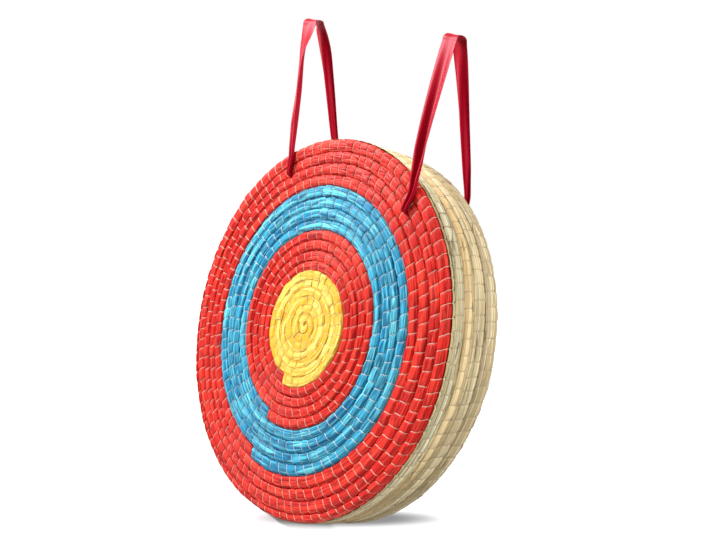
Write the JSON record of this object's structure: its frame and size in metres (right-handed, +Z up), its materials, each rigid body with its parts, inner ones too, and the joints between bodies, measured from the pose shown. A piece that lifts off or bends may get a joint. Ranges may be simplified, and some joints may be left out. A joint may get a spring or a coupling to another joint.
{
  "type": "archery target boss",
  "caption": "Round hanging archery target boss of coiled straw mats sewn together, its front coil wrapped in red, blue and yellow rings, with ribbon loops to hang it.",
  "frame": {"origin": "under the middle of the boss, on the surface that it stands on", "axes": "+Z up, the coloured target face looks along -Y, +X to the right seen from the front"},
  "size_m": [0.5, 0.103, 0.6645],
  "materials": {
    "yellow_wrap": "matte dyed rush, slightly glossy along the fibres",
    "red_wrap": "matte dyed rush, slightly glossy along the fibres",
    "blue_wrap": "matte dyed rush, slightly glossy along the fibres",
    "straw": "plain dry straw bundles",
    "ribbon": "crimson satin",
    "twine": "rough natural twine"
  },
  "bodies": {
    "boss": {"yellow_coil": "yellow_wrap", "inner_red_coil": "red_wrap", "blue_coil": "blue_wrap", "outer_red_coil": "red_wrap", "second_disc": "straw", "third_disc": "straw", "fourth_disc": "straw", "back_disc": "straw", "layer_tie_1": "twine", "layer_tie_2": "twine", "layer_tie_3": "twine", "layer_tie_4": "twine", "layer_tie_5": "twine", "layer_tie_6": "twine"},
    "left_loop": {"left_strap": "ribbon"},
    "right_loop": {"right_strap": "ribbon"}
  },
  "joints": [
    {"name": "left_strap_swing", "type": "hinge", "parent": "boss", "child": "left_loop", "pos_m": [-0.12012, 0, 0.43102], "axis": [0, 1, 0], "range_deg": [-54.6, 45.4]},
    {"name": "right_strap_swing", "type": "hinge", "parent": "boss", "child": "right_loop", "pos_m": [0.12012, 0, 0.43102], "axis": [0, 1, 0], "range_deg": [-7.6, 92.4]}
  ]
}
